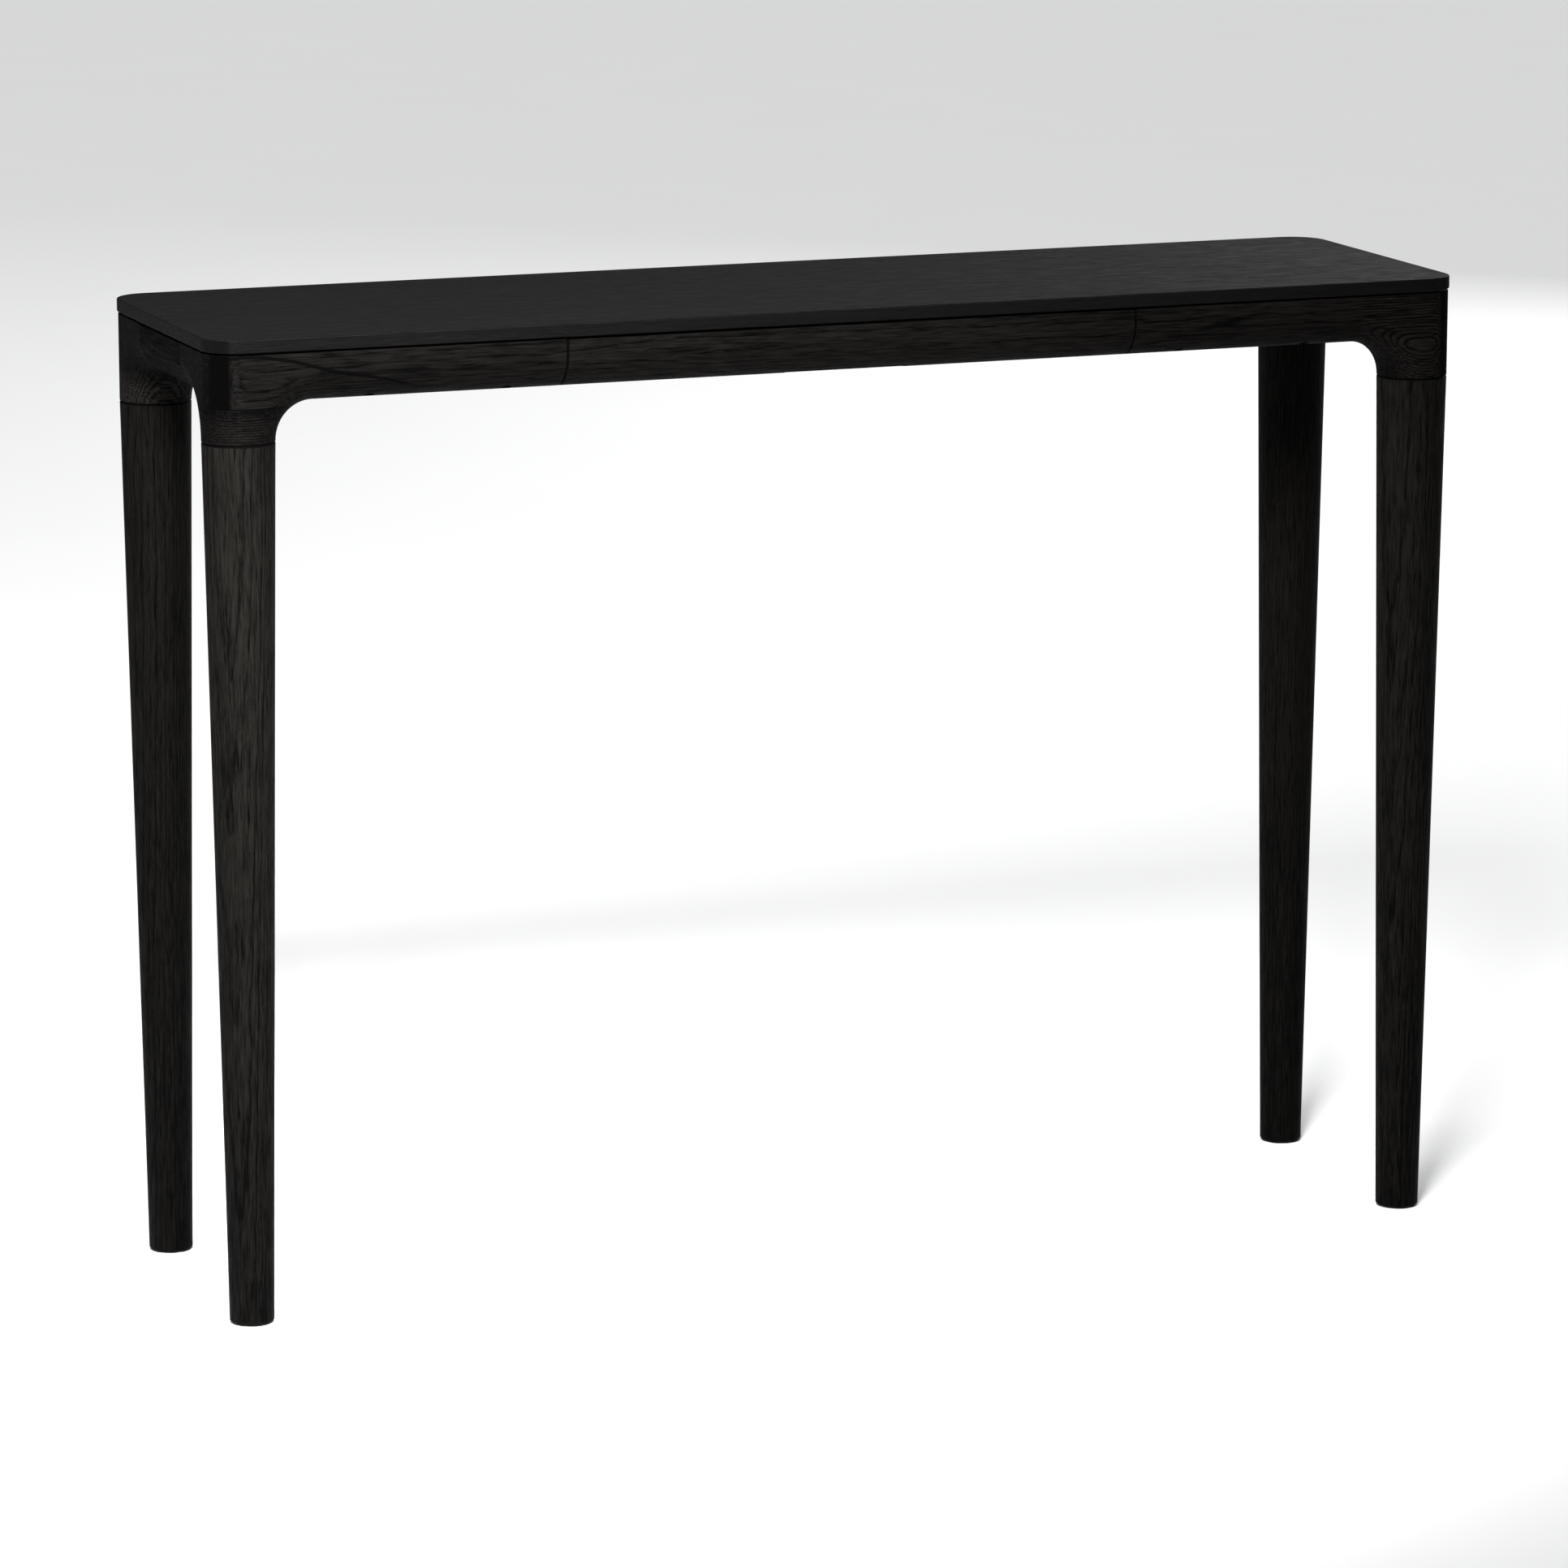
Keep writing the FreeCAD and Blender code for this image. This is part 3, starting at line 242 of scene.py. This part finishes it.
def wood(name, grain, pith, seed, light, dark, ring=3.2 * MM, tone=1.0, roughness=0.72, specular=0.09,
         end_dark=0.0, edge_dark=0.0, corner_dark=0.0, outward=0, late_lines=0.0, shade=None,
         seams=(), lines=()):
    """Solid ring-porous wood whose fibres run along one axis.

    pith is where the growth rings' centre crosses the two other axes. light and dark are the
    summer wood and the stained pores, both times the tone. end_dark darkens end grain. edge_dark
    darkens upright edges as painted shade. corner_dark darkens rounded upright corners, partly for
    the end grain of a corner joint and partly as painted shade, and outward, when it isn't 0, keeps
    the corners where the normal's X times Y has its sign. late_lines darkens the late wood. shade is
    (clear height, dark height, darkness) of painted shade. seams are (height, half width, darkness)
    of dark glue lines and of painted shade in grooves. lines are (points, axis, half width, darkness)
    of strong lines of the figure.
    """
    g = Graph(name)

    def layer(lengthwise, crosswise, shift):
        return g.stretched(grain, lengthwise, crosswise, seed + shift)

    warp = g.swing(layer(*WARP), detail=1.0)
    fine_warp = g.swing(layer(*FINE_WARP), detail=1.0)
    age = ring_age(g, grain, pith, ring, warp, fine_warp)
    phase = g.math("FRACT", age)
    early = g.math("MULTIPLY", g.span(phase, 0.0, EARLY_END, 1.0, 0.0), g.span(phase, 0.0, EARLY_RISE))
    year = g.noise(g.vector(g.math("FLOOR", age), seed, 0.5), detail=0.0)

    fibres = g.swing(layer(*FIBRES), detail=3.0, roughness=0.65)
    pores = g.span(g.noise(layer(*PORES), detail=1.5), *PORE_EDGE)
    pores = g.math("MULTIPLY", pores, g.plus(PORE_SHARE, early, 1 - PORE_SHARE))
    patches = g.swing(layer(*PATCHES), detail=2.0)

    depth = g.plus(BASE_DEPTH, fibres, FIBRE_DEPTH)
    depth = g.plus(depth, patches, PATCH_DEPTH)
    depth = g.plus(depth, pores, PORE_DEPTH)
    depth = g.plus(depth, early, g.span(year, *YEAR_NOISE, *YEAR_DEPTH))
    rough = g.plus(roughness, fibres, ROUGH_FIBRES)
    rough = g.plus(rough, pores, ROUGH_PORES)

    normal = g.split(g.texture.outputs["Normal"])
    if end_dark:
        end = g.math("ABSOLUTE", normal[AXES[grain][0]])
        depth = g.plus(depth, g.span(end, *END_TURN, 0.0, end_dark))
    # Painted shade on the upright faces.
    if edge_dark:
        upright = g.math("SUBTRACT", 1.0, g.math("ABSOLUTE", normal[Z]))
        depth = g.plus(depth, g.span(upright, *EDGE_TURN, 0.0, edge_dark))
    # Rounded upright corners darken: end grain of a corner joint, and painted shade.
    if corner_dark:
        corner = g.math("MULTIPLY", normal[X], normal[Y])
        corner = g.math("MULTIPLY", corner, outward) if outward else g.math("ABSOLUTE", corner)
        corner = g.plus(corner, fibres, CORNER_RAGGED)
        corner = g.span(corner, *CORNER_TURN, 0.0, corner_dark)
        depth = g.plus(depth, corner)
        rough = g.plus(rough, corner, ROUGH_CORNER)
    if late_lines:
        depth = g.plus(depth, g.span(g.distance(phase, 0.5), *LATE_WOOD), late_lines)
    # Painted shade, from none at the clear height to its darkness at the dark height.
    if shade:
        clear, full, darkness = shade
        depth = g.plus(depth, g.span(g.place[Z], clear, full, 0.0, darkness))
    # Dark glue lines, and painted shade in the grooves at the leg joints.
    for height, half_width, darkness in seams:
        off = g.distance(g.place[Z], height)
        depth = g.plus(depth, g.span(off, half_width / 2, half_width, darkness, 0.0))
    for points, axis, half_width, darkness in lines:
        position = g.plus(g.place[X], fine_warp, LINE_SWAY)
        across = g.plus(g.place[axis], fibres, LINE_SHIVER)
        depth = g.plus(depth, drawn_line(g, position, across, points, half_width), darkness)

    light = tuple(tone * value for value in light)
    dark = tuple(tone * value for value in dark)
    g.set(Base_Color=g.blend(g.limit(depth), light, dark), Roughness=g.limit(rough),
          Specular_IOR_Level=specular)
    relief = g.math("MULTIPLY", pores, RELIEF_PORES)
    relief = g.plus(relief, early, RELIEF_EARLY)
    relief = g.plus(relief, fibres, RELIEF_FIBRES)
    g.bump(relief, RELIEF_HEIGHT, RELIEF_STRENGTH)
    return g.material


def oak(name, grain, pith, seed, **options):
    """The black-stained oak of the outside."""
    return wood(name, grain, pith, seed, OAK_LIGHT, OAK_DARK, **options)


def stained(name, grain, pith, seed):
    """The stained wood of the drawer box and its bearers."""
    return wood(name, grain, pith, seed, STAIN_LIGHT, STAIN_DARK, ring=2.4 * MM, roughness=0.78)


def beech(name):
    """The pale wood of the dowels."""
    return wood(name, "x", (10 * MM, 0.0), 107.0, BEECH_LIGHT, BEECH_DARK, ring=2.0 * MM,
                roughness=0.65, specular=0.4)


# ---------------------------------------------------------------- metal, plastic and rubber

def zinc(name, grain):
    """Zinc-plated steel with fine drawing lines and faint clouds."""
    g = Graph(name)
    lines = g.noise(g.stretched(grain, 60, 5200), detail=2.0)
    clouds = g.noise(g.stretched(grain, 90, 90), detail=3.0)
    g.set(Base_Color=g.blend(clouds, (0.50, 0.51, 0.52), (0.66, 0.66, 0.65)),
          Roughness=g.span(lines, 0.2, 0.8, 0.26, 0.44), Metallic=1.0)
    g.bump(lines, 0.02 * MM, 0.35)
    return g.material


def powder_coat(name):
    """Matt black powder coat with its fine orange peel."""
    g = Graph(name)
    peel = g.noise(g.scaled(1600), detail=1.0)
    g.set(Base_Color=g.blend(peel, (0.006, 0.006, 0.006), (0.014, 0.014, 0.014)),
          Roughness=g.span(peel, 0.2, 0.8, 0.7, 0.55), Specular_IOR_Level=0.2)
    g.bump(peel, 0.04 * MM, 0.5)
    return g.material


def moulded(name, low, high, rough, cells):
    """Moulded plastic or rubber from one grey to another, with a fine spark-eroded texture."""
    g = Graph(name)
    spark = g.noise(g.scaled(cells), detail=3.0)
    g.set(Base_Color=g.blend(spark, (low, low, low), (high, high, high)),
          Roughness=g.span(spark, 0.25, 0.75, rough + 0.08, rough - 0.08))
    g.bump(spark, 0.05 * MM, 0.4)
    return g.material


# ---------------------------------------------------------------- dressing the pieces

SIDES = ("left", "right")


def middle(node):
    low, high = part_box(node)
    return (low + high) / 2


def dress(material, *nodes):
    """Give CAD nodes one material."""
    for node in nodes:
        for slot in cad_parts[node].material_slots:
            slot.material = material


# The top has a dark line under its eased edge and two drying checks near its right end, whose
# points are (share of the half length, mm behind the middle).
CHECKS = (((0.505, -30), (0.60, -22), (0.695, -6)),
          ((0.785, -26), (0.86, -19), (0.94, -5)))
top = middle("top_panel")
top_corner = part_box("top_panel")[1]
check_lines = [([(top_corner.x * share, top.y + behind * MM) for share, behind in check],
                Y, 1.6 * MM, 0.9) for check in CHECKS]
edge_line = (top_corner.z - 2.1 * MM, 0.5 * MM, 0.7)
# The top's upright edges and rounded corners are darkened as painted shade.
dress(oak("oak_top", "x", (top.y - 30 * MM, top.z - 90 * MM), 11.0, ring=4.5 * MM, tone=0.08,
          specular=0.066, edge_dark=0.6, corner_dark=1.0, seams=[edge_line], lines=check_lines),
      "top_panel")

# The apron. ARCH is the strong line at the front left corner, in mm right of it and mm below it.
ARCH = ((10, 9.5), (27, 1.5), (57, 4), (84, 9.8), (117, 19), (149, 24.5), (190, 36))
APRON_SPECULAR = 0.02
APRON_END_DARK = 0.3
front = middle("drawer_front")
frame_low, frame_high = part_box("corner_block_front_left")
knee_low, knee_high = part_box("knee_block_front_left")
glue_line = (knee_high.z, 0.9 * MM, 0.7)
# Painted shade in the V-cut between each knee and its leg.
painted_groove_shade = (knee_low.z, 1.5 * MM, 1.0)
arch = [(frame_low.x + right * MM, frame_high.z - down * MM) for right, down in ARCH]
front_board = {"grain": "x", "pith": (front.y - 55 * MM, front.z + 2 * MM), "seed": 23.0,
               "ring": 2.6 * MM, "specular": APRON_SPECULAR}
dress(oak("oak_front_apron", tone=0.19, **front_board), "drawer_front", "front_rail_right")
# Its rounded front corner darkens, partly for end grain and partly as painted shade.
dress(oak("oak_front_apron_left", tone=0.17, end_dark=APRON_END_DARK, corner_dark=1.2, outward=1,
          seams=[glue_line], lines=[(arch, Z, 1.8 * MM, 1.0)], **front_board),
      "front_rail_left", "corner_block_front_left")
# Its rounded corners darken, partly for end grain and partly as painted shade.
dress(oak("oak_rear_apron", "x", (50 * MM - front.y, front.z - 10 * MM), 31.0, tone=0.15,
          specular=APRON_SPECULAR, end_dark=APRON_END_DARK, corner_dark=1.0, seams=[glue_line]),
      "corner_block_rear_left", "corner_block_rear_right", "rear_rail")
# The side rails' lower tone is painted shade on the table's ends.
for side in SIDES:
    rail = middle(f"side_rail_{side}")
    dress(oak(f"oak_side_{side}", "y", (rail.x * 1.1, rail.z - 30 * MM), 37.0 + rail.x, tone=0.10,
              specular=0.01), f"side_rail_{side}")

# The legs, each from its own board. The rear legs' darker tones are painted shade, and painted
# shade darkens each leg towards the foot.
LEG_TONES_AND_SHADE = {"front_left": 0.25, "front_right": 0.23, "rear_left": 0.15, "rear_right": 0.13}
FOOT_PAINTED_SHADE = (450 * MM, 0.0, 0.35)
for index, (corner, tone) in enumerate(LEG_TONES_AND_SHADE.items()):
    leg = middle(f"leg_{corner}")
    pith = (leg.x + 45 * MM, leg.y + (60 - 30 * index) * MM)
    dress(wood(f"oak_leg_{corner}", "z", pith, 41.0 + 7 * index, LEG_LIGHT, OAK_DARK, tone=tone,
               specular=0.03, shade=FOOT_PAINTED_SHADE, seams=[painted_groove_shade]), f"leg_{corner}")

# The knees. The nested loops of the front right one run on over its corner block. For the others
# come the pith's distance behind the block's front, its height, and the tone.
KNEE_RING = 2.3 * MM
swirl_low, swirl_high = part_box("knee_block_front_right")
# Its rounded corner darkens, partly for end grain and partly as painted shade.
dress(oak("oak_corner_front_right", "x", (swirl_low.y - 12 * MM, swirl_high.z), 83.0, ring=KNEE_RING,
          tone=0.28, specular=APRON_SPECULAR, end_dark=APRON_END_DARK, corner_dark=1.0, outward=-1,
          late_lines=0.6, seams=[painted_groove_shade]), "corner_block_front_right", "knee_block_front_right")
KNEES = {"front_left": (0.0, knee_low.z + 200 * MM, 0.16),
         "rear_left": (-14 * MM, knee_low.z - 6 * MM, 0.46),
         "rear_right": (-20 * MM, knee_high.z - 10 * MM, 0.16)}
# Painted shade on each knee, deepening up towards the rail above it.
knee_painted_shade = (knee_low.z + 14 * MM, knee_high.z - 2 * MM, 0.4)
for index, (corner, (behind, height, tone)) in enumerate(KNEES.items()):
    pith = (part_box(f"knee_block_{corner}")[0].y + behind, height)
    dress(oak(f"oak_knee_{corner}", "x", pith, 71.0 + 5 * index, ring=KNEE_RING, tone=tone,
              specular=APRON_SPECULAR, late_lines=0.4, shade=knee_painted_shade, seams=[glue_line, painted_groove_shade]),
          f"knee_block_{corner}")

# The drawer box, its bearers and the dowels.
for node in ("drawer_inner_front", "drawer_back"):
    board = middle(node)
    dress(stained(f"wood_{node}", "x", (board.y + 30 * MM, board.z - 40 * MM), 91.0 + board.y), node)
for side in SIDES:
    for node in (f"drawer_side_{side}", f"runner_bearer_{side}"):
        board = middle(node)
        dress(stained(f"wood_{node}", "y", (board.x + 30 * MM, board.z + 35 * MM), 97.0 + board.x),
              node)
panel = middle("drawer_bottom")
dress(stained("wood_drawer_bottom", "x", (panel.y, panel.z - 400 * MM), 103.0), "drawer_bottom")
for node in ("rail_dowels", "bearer_dowels", "drawer_dowels", "knee_dowels"):
    dress(beech(f"beech_{node}"), node)

# The hardware.
slides = [f"{part}_{side}" for side in SIDES for part in ("slide_outer", "slide_inner", "ball_cage")]
dress(zinc("zinc_along_x", "x"), "slide_bearer_screws", "slide_drawer_screws")
dress(zinc("zinc_along_y", "y"), "drawer_front_screws", *slides)
dress(zinc("zinc_along_z", "z"), "top_screws", "leg_bolts", "leg_inserts")
dress(powder_coat("powder_coat_strips"), "front_tie_strip", "rear_spacer_strip",
      "left_spacer_strip", "right_spacer_strip")
dress(moulded("nylon_glides", low=0.02, high=0.04, rough=0.45, cells=900), "foot_pads")
dress(moulded("rubber_bumpers", low=0.012, high=0.025, rough=0.8, cells=1500), "drawer_bumpers")


# ---------------------------------------------------------------- floor, light and camera

scene = bpy.context.scene
scene.view_settings.view_transform = "Standard"


def plain_floor(size):
    g = Graph("pale_floor")
    cloud = g.noise(g.scaled(3), detail=4.0)
    g.set(Base_Color=g.blend(cloud, (0.79, 0.79, 0.79), (0.81, 0.81, 0.81)), Roughness=0.9,
          Specular_IOR_Level=0.1)
    half = size / 2
    corners = [(-half, -half, 0), (half, -half, 0), (half, half, 0), (-half, half, 0)]
    mesh = bpy.data.meshes.new("floor")
    mesh.from_pydata(corners, [], [(0, 1, 2, 3)])
    mesh.materials.append(g.material)
    floor = bpy.data.objects.new("floor", mesh)
    scene.collection.objects.link(floor)


def place_lamp(name, lamp, position, target):
    """Put a lamp at a point and turn its -Z towards another."""
    item = bpy.data.objects.new(name, lamp)
    scene.collection.objects.link(item)
    position, target = Vector(position), Vector(target)
    turn = (target - position).to_track_quat("-Z", "Y").to_matrix().to_4x4()
    item.matrix_world = Matrix.Translation(position) @ turn


def wide_sun(name, position, target, strength, angle):
    lamp = bpy.data.lights.new(name, "SUN")
    lamp.energy = strength
    lamp.angle = math.radians(angle)
    place_lamp(name, lamp, position, target)


def soft_box(name, position, target, width, height, watts, spread=180):
    lamp = bpy.data.lights.new(name, "AREA")
    lamp.shape = "RECTANGLE"
    lamp.size = width
    lamp.size_y = height
    lamp.energy = watts
    lamp.spread = math.radians(spread)
    place_lamp(name, lamp, position, target)


plain_floor(80)

# A narrow key at the front left gives the fall-off to the right, and a large soft box behind the
# right end gives the sheen on the top.
wide_sun("overhead", position=(-1.2, -1.0, 4.0), target=(0, 0, 0), strength=2.5, angle=70)
soft_box("key", position=(-0.95, -1.9, 2.1), target=(-0.6, -0.16, 0.75), width=0.9, height=0.7,
         watts=50, spread=66)
soft_box("sheen", position=(4.6, 4.4, 2.2), target=(0.5, 0, 0.89), width=4.0, height=2.0, watts=110)
world = bpy.data.worlds.new("studio")
world.use_nodes = True
background = world.node_tree.nodes["Background"]
background.inputs["Color"].default_value = (0.75, 0.77, 0.8, 1)
background.inputs["Strength"].default_value = 0.16
scene.world = world

# The camera's place, turn and lens were fitted to the table's edges in the photo.
CAMERA_PLACE = Vector((-2.28292, -5.97780, 1.74560))
YAW = 0.3638
PITCH = 0.2036
lens = bpy.data.cameras.new("camera")
lens.sensor_width = 36.0
lens.lens = 161.57
lens.clip_end = 200.0
camera = bpy.data.objects.new("camera", lens)
scene.collection.objects.link(camera)
level = math.cos(PITCH)
forward = Vector((math.sin(YAW) * level, math.cos(YAW) * level, -math.sin(PITCH)))
rightward = Vector((math.cos(YAW), -math.sin(YAW), 0))
upward = rightward.cross(forward)
turn = Matrix((rightward, upward, -forward)).transposed()
camera.matrix_world = Matrix.Translation(CAMERA_PLACE) @ turn.to_4x4()
scene.camera = camera
